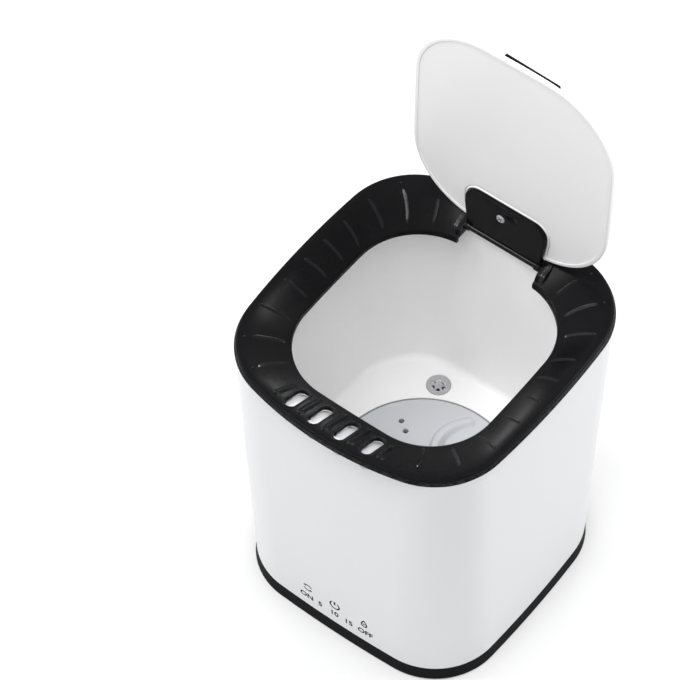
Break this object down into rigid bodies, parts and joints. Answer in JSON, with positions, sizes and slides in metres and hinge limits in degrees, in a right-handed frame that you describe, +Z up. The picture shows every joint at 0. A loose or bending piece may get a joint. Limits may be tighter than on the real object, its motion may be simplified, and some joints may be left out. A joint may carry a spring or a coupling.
{
  "type": "mini washing machine",
  "caption": "Bucket-size tub washer: white rounded-square housing, dished black deck ring, hinged domed lid, vaned pulsator on a gear drive, drain pump with rear spigot.",
  "frame": {"origin": "on the floor, under the middle of the whole width and depth", "axes": "+Z up, the touch marks and drain slots face -Y, the lid's hinge is at +Y"},
  "size_m": [0.265, 0.2888, 0.5388],
  "materials": {
    "base_black": "satin",
    "housing_white": "satin",
    "deck_black": "gloss",
    "tub_white": "gloss",
    "pulsator_grey": "gloss",
    "lid_white": "gloss",
    "liner_white": "satin",
    "hinge_black": "satin",
    "rubber": "matte",
    "steel": "brushed",
    "inner_plastic": "matte",
    "gear_nylon": "matte",
    "hose_grey": "matte",
    "board_green": "gloss",
    "pad_copper": "satin"
  },
  "bodies": {
    "body": {"base_pan": "base_black", "rubber_feet": "rubber", "base_screws": "steel", "outer_housing": "housing_white", "wash_tub": "tub_white", "drain_strainer": "steel", "deck_ring": "deck_black", "deck_gasket": "rubber", "deck_screws": "steel", "upper_bearing": "steel", "lower_bearing": "steel", "shaft_seal": "rubber", "gearbox_case": "inner_plastic", "gearbox_cover": "inner_plastic", "gearbox_screws": "steel", "wash_motor": "steel", "motor_screws": "steel", "pump_body": "inner_plastic", "pump_motor": "steel", "pump_inlet_hose": "hose_grey", "pump_outlet_hose": "hose_grey", "hose_clamps": "steel", "drain_spigot": "inner_plastic", "spigot_nut": "inner_plastic", "control_board": "board_green", "board_holder": "inner_plastic", "board_screws": "steel", "touch_pads": "pad_copper", "power_board": "board_green", "power_board_screws": "steel", "power_socket": "inner_plastic", "socket_nut": "steel", "hinge_pin": "steel"},
    "lid": {"lid_shell": "lid_white", "lid_liner": "liner_white", "hinge_plate": "hinge_black", "hinge_screw": "steel", "lid_grip": "hinge_black"},
    "pulsator_drive": {"pulsator": "pulsator_grey", "pulsator_screw": "steel", "pulsator_cap": "pulsator_grey", "drive_shaft": "steel", "drive_gear": "gear_nylon", "gear_clip": "steel"},
    "motor_rotor": {"motor_shaft": "steel", "motor_pinion": "gear_nylon", "motor_armature": "steel"},
    "pump_rotor": {"pump_impeller": "gear_nylon", "pump_shaft": "steel"}
  },
  "joints": [
    {"name": "lid_hinge", "type": "hinge", "parent": "body", "child": "lid", "pos_m": [0, 0.11, 0.3125], "axis": [1, 0, 0], "range_deg": [0, 90.9]},
    {"name": "pulsator_spin", "type": "hinge", "parent": "body", "child": "pulsator_drive", "pos_m": [0, 0, 0.093], "axis": [0, 0, 1], "continuous": true},
    {"name": "motor_spin", "type": "hinge", "parent": "body", "child": "motor_rotor", "pos_m": [0, -0.046, 0.05], "axis": [0, 0, 1], "continuous": true},
    {"name": "pump_spin", "type": "hinge", "parent": "body", "child": "pump_rotor", "pos_m": [-0.046, 0.086, 0.045], "axis": [0, 0, 1], "continuous": true}
  ],
  "couplings": [
    {"joint": "motor_spin", "follows": "pulsator_spin", "ratio": -3.6}
  ]
}
